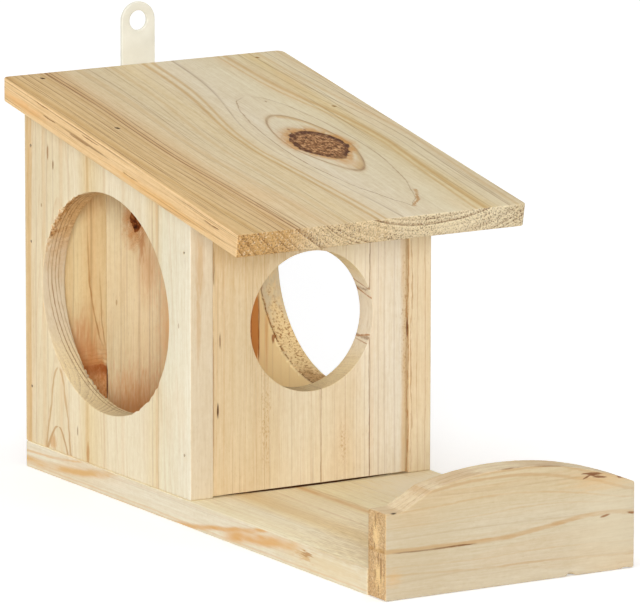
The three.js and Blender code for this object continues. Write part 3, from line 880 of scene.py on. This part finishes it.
# (along, out) places of the dark line round the knot, out from its middle to either side
knotRound = ((56, 1), (60, 7), (70, 12), (90, 17), (130, 20.5), (160, 18), (184, 12.5), (203, 5))
roofWood = {
    "seed": 31.4, **plainPine, "lateTint": "a87a44", "lineTint": "774615", "bandTint": "bd9352",
    "zones": [(-77, "d7b480"), (-70, "d7b886"), (-60, "d4b788"), (-50, "d3b487"), (-42, "dbc59e"),
              (-30, "d9c7a3"), (-12, "dac69e"), (-4, "dccba9"), (10, "ddcfb3"), (45, "dcceac"),
              (57, "d7c192"), (64, "dccdab"), (77, "dac8a4")],
    "edge": "eecb98",
    "rings": {**plainRings, "centre": knotMiddle, "pith": 85, "width": 2.7, "wander": 0.6, "ripple": 0.12,
              "slant": {"centre": 5, "fromTo": (25, 42), "pivot": 128, "by": 0.04}},
    "strength": [(-77, 0.8), (-47, 0.8), (-42, 0.35), (-10, 0.3), (5, 0.12), (45, 0.15), (53, 0.4),
                 (77, 0.45)],
    "threads": 0.8, "contrast": 1.25,
    "bulges": [{"at": 128, "side": -1, "reach": 60, "power": 2.5, "height": 600},
               {"at": 128, "side": 1, "reach": 62, "power": 1.23, "height": 600}],
    "lines": [(-98, 0.4, 0.5), (-93, 0.4, 0.6), (-89, 0.35, 0.4), (-86, 0.4, 0.6), (-83, 0.35, 0.5),
              (-79.5, 0.35, 0.5), (-77, 0.38, 0.9), (-75, 0.38, 0.9), (-72, 0.38, 0.6), (-62, 0.35, 0.3),
              (-57, 0.35, 0.35), (-52, 0.35, 0.35), (-46, 0.35, 0.3), (-40, 0.35, 0.25), (-26, 0.38, 0.45),
              (-15, 0.42, 0.6), (15, 0.42, 0.65), (41, 0.35, 0.4), (46, 0.4, 0.7), (54, 0.4, 0.6)],
    "bands": [(-96, 1.4, 0.4), (-80, 1.6, 0.3), (-60, 1.6, 0.25), (-49, 1.6, 0.25), (-35, 1.3, 0.6),
              (-31.8, 1.0, 0.55), (-15, 1.2, 0.3), (14.4, 1.4, 0.55), (31.5, 1.0, 0.45), (35, 1.7, 0.55),
              (50, 1.6, 0.3), (60, 1.2, 0.3)],
    "veins": [
        *[vein([(along, knotMiddle + side * out) for along, out in knotRound] + [(211, knotMiddle - 1.5)],
               0.5, "8a5c2a", strong, reach=(56, 212), taper=3)
          for side, strong in ((-1, 0.6), (1, 0.45))],
        vein([(191, 35.6), (196, 34), (201, 31), (205, 29), (210, 23.6)], 1.5, "b07c3c", 0.85, core=0.2,
             reach=(190, 213), taper=3, ragged=3.0),
        *[vein([(0, deep), (70, deep + 0.7), (150, deep - 0.5), (222, deep + 0.4)], 0.3, "a06c36", strong,
               deep=True, span=(-80, -70), ragged=0.5)
          for deep, strong in ((2.4, 0.12), (4.1, 0.3), (7.4, 0.25))],
        *[vein([(along - half, down), (along, down + 0.15), (along + half, down - 0.1)], 0.36, "7a4408",
               0.85, deep=True, span=(-80, -70), reach=(along - half, along + half), taper=3, ragged=0.8)
          for along, down, half in ((40, 1, 7), (47, 5, 7), (86, 2, 9), (76, 5.5, 10), (125, 6.5, 8),
                                    (199, 3.5, 8))],
    ],
    "marks": [
        mark((30, 65, 0), (0.7, 1.4, 2), "8a6238", 0.6),
        mark((20, 103, 0), (0.8, 1.6, 2), "8c5428", 0.7),
        mark((27.5, 105.5, 0), (0.7, 1.4, 2), "8c5428", 0.7),
        mark((24, 150, 0), (8, 12, 4), "d0a066", 0.5, core=0.0),
        mark((-77, 22, 7), (3, 30, 3.4), "e8a85c", 0.5, core=0.0),
        mark((-77, 150, 8), (3, 70, 3), "e8b064", 0.5, core=0.0),
        *[mark((x, y, 0), (1.1, 1.7, 2), "3e2002" if x < 0 else "a07c48", 0.97, core=0.6, ragged=0.5, tilt=35)
          for x, y in roofPins],
    ],
    "knots": [{"at": (knotMiddle, 126, 0), "half": (13.2, 19.5, 90), "halo": 1.55, "haloStrength": 0.9,
               "haloTint": "c48c46", "dark": "2c1202", "middle": "84552e", "pale": "d6aa78", "rim": "421c04",
               "point": 0.5, "circles": 6, "circleStrength": 0.08, "ragged": 0.9}],
    "ends": {"late": "7e5226", "pore": "5a3412", "pale": "fcf0d2", "cover": 0.7, "rings": 0.8, "chaff": 0.7,
             "pores": 1.0, "poreSize": 0.85,
             "zones": [(-77, "d6a462"), (-52, "d9ab69"), (-38, "e8cd9f"), (20, "eedab0"), (60, "f8eac8"),
                       (64, "efe0bc"), (77, "eedcb4")]},
}
piece = makeBoard(
    "roofBoard", roofAxes, roof["thick"],
    fourSided(-roof["half"], roof["half"], 0, roof["length"], roof["rounding"]),
    pins=roofPins, ease=0.6, wave=0.2, seed=8.2, plumb=math.tan(slope))
settle(piece, pine("roofPine", roofAxes, roofWood), "roof_board")

# Arched board across the tray; its grain runs from left to right
trayLow, trayHigh = boxOf("tray_front_board")
tray = {"thick": trayHigh.y - trayLow.y, "half": trayHigh.x, "peak": trayHigh.z, "end": 40, "shoulder": 9,
        "shoulderRun": 15, "archSteps": 40, "foot": 1.3, "tip": 1.4, "hollow": 6}
trayAxes = boardAxes((0, trayLow.y, 0), (0, 0, 1), (1, 0, 0), (0, 1, 0))
trayWood = {
    "seed": 37.8, **plainPine,
    "zones": [(0, "cec0a5"), (10, "ccbda1"), (22, "cdbea1"), (30, "cec0a4"), (42, "cdba97"), (54, "cebb97")],
    "edge": "ebdab8", "threads": 0.2,
    "rings": {**plainRings, "centre": 12, "pith": 26, "width": 4.2, "lean": -0.03, "wander": 1.8},
    "strength": [(0, 0.25), (54, 0.3)],
    "lines": [(-4, 0.5, 0.15), (16, 0.5, 0.2), (33, 0.6, 0.2)],
    "ends": {**plainEnds, "zones": [(0, "deb074"), (54, "e0b67c")], "chaff": 0.9, "pores": 0.7,
             "poreSize": 0.8},
    "veins": [
        vein([(-66, 22.6), (-30, 22), (0, 22.4), (30, 26), (50, 27.4), (66, 26.2)], 1.5, "bb8a48", 0.6),
        vein([(-66, 42.5), (-50, 46), (-20, 50), (10, 49.4), (30, 46), (48, 42), (66, 36.5)], 1.0, "bb8f5c",
             0.45),
        vein([(-66, 46), (-30, 50.6), (-10, 52.4), (10, 52.6), (30, 50.2), (66, 41)], 0.7, "b98a54", 0.4),
        vein([(-66, 39.6), (-36, 40.6), (0, 42), (40, 37.5), (66, 33)], 0.6, "c49a66", 0.35),
        vein([(-66, 11.6), (-20, 9.6), (20, 9), (66, 7)], 0.7, "bd9768", 0.45),
        vein([(-66, 15.4), (-20, 14), (20, 14.6), (66, 13)], 0.5, "c49f70", 0.25),
        vein([(-66, 33), (-20, 33.6), (20, 35), (66, 31)], 0.5, "c49f70", 0.25),
        vein([(-64, 21.8), (-44, 21.2), (-30, 21.4), (-17, 21)], 0.5, "6a3a0c", 0.95, reach=(-64, -17),
             taper=6, ragged=0.7),
        *[vein([(-50, deep), (-20, deep + 1), (20, deep - 0.4), (66, deep + 0.6)], 0.4, "9a703c", 0.3,
               deep=True, span=(40, 60), ragged=1.2)
          for deep in (3.2, 7.6)],
    ],
    "marks": [
        mark((22, 56, 0), (40, 34, 4), "dccfb2", 0.5, core=0.0),
        mark((20, -50, 0), (40, 40, 4), "bda882", 0.35, core=0.0),
        mark((43, 48, 0), (8, 28, 4), "d9a866", 0.35, core=0.0),
        mark((10, -62, 0), (6, 7, 4), "d9a866", 0.4, core=0.0),
        mark((45.9, 43, 0), (0.7, 5.5, 2), "74401e", 0.85, ragged=2.2, tilt=-4),
        mark((44.3, 46.5, 0), (0.6, 4, 2), "74401e", 0.8, ragged=2.4, tilt=-10),
        mark((44.6, 39.5, 0), (0.5, 2.4, 2), "74401e", 0.8, ragged=2.0, tilt=20),
        mark((43, 58, 0), (0.9, 2.2, 2), "7c4420", 0.85),
        mark((26, 50, 0), (0.7, 3, 2), "8f5a2c", 0.8, tilt=8),
        mark((25.8, 64, 0), (0.8, 3, 2), "8f5a2c", 0.8, tilt=-8),
        mark((53.4, 0, 0), (0.5, 11, 2), "8f6436", 0.7),
        mark((52, 20, 0), (0.45, 10, 2), "8f6436", 0.6, tilt=-6),
        mark((40, -61.5, 0), (0.9, 2.3, 2), "2a1402", 0.95),
        mark((30, -66, 8), (10, 3, 4), "f4d49a", 0.85, ragged=1.8, core=0.2),
        mark((10, -66, 6), (9, 3, 5), "f4d49a", 0.85, ragged=1.8, core=0.2),
        *[mark((up, -66, deep), (reach, 3, 0.7), "8a5a26", 0.6, ragged=2.6)
          for up, deep, reach in ((35, 8.6, 4), (24, 9.4, 2), (19, 6.2, 3.4), (11, 8.8, 2.6), (5, 6, 3))],
        mark((14, -66, 4), (8, 3, 0.9), "8a5526", 0.7, ragged=1.6),
        mark((20, -66, 1.6), (19, 3, 1.1), "8a5526", 0.7, specks=True),
        mark((20, -66, 11.5), (19, 3, 1.4), "8a5526", 0.6, specks=True),
        mark((34, -66, 5), (7, 3, 4), "a8743c", 0.6, specks=True),
        mark((6, -66, 8), (5, 3, 4), "a06a34", 0.6, specks=True),
    ],
}


def archedOutline():
    half, peak, end, steps = tray["half"], tray["peak"], tray["end"], tray["archSteps"]
    foot, tip, hollow = tray["foot"], tray["tip"], tray["hollow"]  # how the corners are rounded
    rise = peak - end
    radius = (half * half + rise * rise) / (2 * rise)
    corners = [(0, -half, foot), (end, -half, tip), (end, -half + tray["shoulder"], hollow)]
    first = -half + tray["shoulder"] + tray["shoulderRun"]
    for step in range(steps + 1):
        x = first + (half - first) * step / steps
        up = peak - radius + math.sqrt(radius * radius - x * x)
        corners.append((up, x, tip if step == steps else 0))
    return cornered(corners + [(0, half, foot)])


piece = makeBoard(
    "trayFrontBoard", trayAxes, tray["thick"], archedOutline(),
    chips=[{"at": (0, 32), "reach": 2.6, "size": 1.8, "deep": 4},
           {"at": (0, 60.6), "reach": 3.6, "size": 0.9, "deep": 9, "pitch": 1.5}],
    ease=0.6, wave=0.25, grit=0.1, seed=13.9)
settle(piece, pine("trayPine", trayAxes, trayWood), "tray_front_board")

# Hanger strip, and the steel that holds everything
hangerLow, hangerHigh = boxOf("hanger_plate")
hanger = {
    "middle": (hangerLow.x + hangerHigh.x) / 2, "half": (hangerHigh.x - hangerLow.x) / 2,
    "foot": hangerLow.z, "top": hangerHigh.z, "thick": hangerHigh.y - wallY, "rounding": 1.2,
    "eye": 4.75, "screwHole": 1.7, "holeSpacing": 0.4, "roundSteps": 40,
    "coat": [(-1.2, "dedaca"), (1.2, "ebe8da")], "rubbed": "bdb8a8", "roughness": 0.4, "specular": 0.45,
}
fastener = {"steel": [(-1.2, "38342e"), (0.2, "55514a"), (1.2, "76726a")], "roughness": 0.42}


def coatedSteel():
    material, here = newMaterial("coatedSteel")
    inMm = here * (1 / mm)
    cloud = inMm.grain((9, 9, 9), 3, 3)
    peel = inMm.grain((0.9, 0.9, 0.9), 8, 2)
    rub = inMm.grain((0.5, 0.5, 14), 12, 2).rise(0.7, 1.4) * 0.25
    colour = rub.over(cloud.ramp(tinted(hanger["coat"])), tint(hanger["rubbed"]))
    roughness = hanger["roughness"] + cloud * 0.05
    finishMaterial(here, colour, roughness, peel * 0.008, {"Specular IOR Level": hanger["specular"]})
    return material


def dullSteel():
    material, here = newMaterial("dullSteel")
    inMm = here * (1 / mm)
    cloud = inMm.grain((1.2, 1.2, 1.2), 5, 3)
    roughness = fastener["roughness"] + cloud * 0.08
    finishMaterial(here, cloud.ramp(tinted(fastener["steel"])), roughness, cloud * 0.01, {"Metallic": 1.0})
    return material


def screwHoles():
    spots = []
    for name in ("hanger_screw_lower", "hanger_screw_upper"):
        low, high = boxOf(name)
        spots.append((0, (low.z + high.z) / 2))
    return [oval(spot, (hanger["screwHole"],) * 2, hanger["holeSpacing"]) for spot in spots]


hangerAxes = boardAxes((hanger["middle"], wallY, 0), (1, 0, 0), (0, 0, 1), (0, 1, 0))
eyeUp = hanger["top"] - hanger["half"]
turns = [math.pi * step / hanger["roundSteps"] for step in range(hanger["roundSteps"] + 1)]
roundTop = [(hanger["half"] * math.cos(turn), eyeUp + hanger["half"] * math.sin(turn), 0) for turn in turns]
footCorners = [(side * hanger["half"], hanger["foot"], hanger["rounding"]) for side in (-1, 1)]
eye = oval((0, eyeUp), (hanger["eye"],) * 2, hanger["holeSpacing"])
piece = makeBoard(
    "hangerStrip", hangerAxes, hanger["thick"], cornered(footCorners + roundTop),
    holes=[eye, *screwHoles()], ease=0.35, wave=0.0, grit=0.0, gap=0.7)
settle(piece, coatedSteel(), "hanger_plate")

steel = dullSteel()
for name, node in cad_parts.items():
    if "_pin_" in name or "screw" in name:
        node.material_slots[0].material = steel

# Floor, light and camera
studio = {"floor": 12.0, "floorTone": 0.9, "floorGlow": 0.34, "dome": 0.25}  # floor is its width in metres
lamps = {  # degrees round from the front and up, the size of the soft light in degrees, and its strength
    "leftLamp": {"from": (-68, 12), "spread": 32, "energy": 0.76},
    "frontLamp": {"from": (-31, 11.5), "spread": 18, "energy": 1.75},
    "topLamp": {"from": (0, 85), "spread": 60, "energy": 1.3},
}


def backdropSeen(start):
    # 1 on the rays that show the backdrop, straight or in steel, and 0 on those that light the wood
    kinds = ("Is Camera Ray", "Is Glossy Ray", "Is Transmission Ray")
    direct, glossy, through = (start.node("ShaderNodeLightPath", {}, {}, kind) for kind in kinds)
    return (direct + glossy + through).atMost(1.0)


def studioFloor():
    half = studio["floor"] / 2
    mesh = bpy.data.meshes.new("floor")
    corners = [(x * half, y * half, 0) for x, y in ((-1, -1), (1, -1), (1, 1), (-1, 1))]
    mesh.from_pydata(corners, [], [(0, 1, 2, 3)])
    material, here = newMaterial("paleFloor")
    matt = here.node("ShaderNodeBsdfDiffuse", {}, {"Color": (studio["floorTone"],) * 3 + (1.0,)})
    glow = here.node("ShaderNodeEmission", {}, {"Strength": backdropSeen(here) * studio["floorGlow"]})
    both = here.node("ShaderNodeAddShader", {}, {0: matt, 1: glow})
    here.node("ShaderNodeOutputMaterial", {}, {"Surface": both})
    mesh.materials.append(material)
    newObject("floor", mesh)


def studioLight():
    world = bpy.data.worlds.new("studio")
    bpy.context.scene.world = world
    world.use_nodes = True
    tree = world.node_tree
    tree.nodes.clear()
    start = Wire(tree, None)
    strength = studio["dome"] + backdropSeen(start) * (1 - studio["dome"])
    sky = start.node("ShaderNodeBackground", {}, {"Color": (1.0, 1.0, 1.0, 1.0), "Strength": strength})
    start.node("ShaderNodeOutputWorld", {}, {"Surface": sky})
    for name, lamp in lamps.items():
        azimuth, elevation = (math.radians(a) for a in lamp["from"])
        sun = bpy.data.lights.new(name, "SUN")
        sun.energy = lamp["energy"]
        sun.angle = math.radians(lamp["spread"])
        level = math.cos(elevation)
        fromThere = Vector((math.sin(azimuth) * level, -math.cos(azimuth) * level, math.sin(elevation)))
        newObject(name, sun).rotation_euler = fromThere.to_track_quat("Z", "Y").to_euler()


camera = {"turn": 31.1946, "down": 11.2107, "roll": 0.0795, "away": 3640.2, "target": (20.03, 32.0, 93.25),
          "focal": 7800, "imageWidth": 640, "sensor": 36, "clip": (0.1, 100)}  # focal in pixels of the photo


def studioCamera():
    turn, down, roll = (math.radians(camera[k]) for k in ("turn", "down", "roll"))
    forward = Vector((math.sin(turn) * math.cos(down), math.cos(turn) * math.cos(down), -math.sin(down)))
    right = Vector((math.cos(turn), -math.sin(turn), 0))
    up = right.cross(forward)
    tiltedRight = right * math.cos(roll) + up * math.sin(roll)
    tiltedUp = up * math.cos(roll) - right * math.sin(roll)
    data = bpy.data.cameras.new("camera")
    data.sensor_fit = "HORIZONTAL"
    data.sensor_width = camera["sensor"]
    data.lens = camera["focal"] / camera["imageWidth"] * camera["sensor"]
    data.clip_start, data.clip_end = camera["clip"]
    seen = newObject("camera", data)
    place = Matrix((tiltedRight, tiltedUp, -forward)).transposed().to_4x4()
    place.translation = (Vector(camera["target"]) - forward * camera["away"]) * mm
    seen.matrix_world = place
    bpy.context.scene.camera = seen


studioFloor()
studioLight()
studioCamera()
bpy.context.scene.view_settings.view_transform = "Standard"
print("stage set")
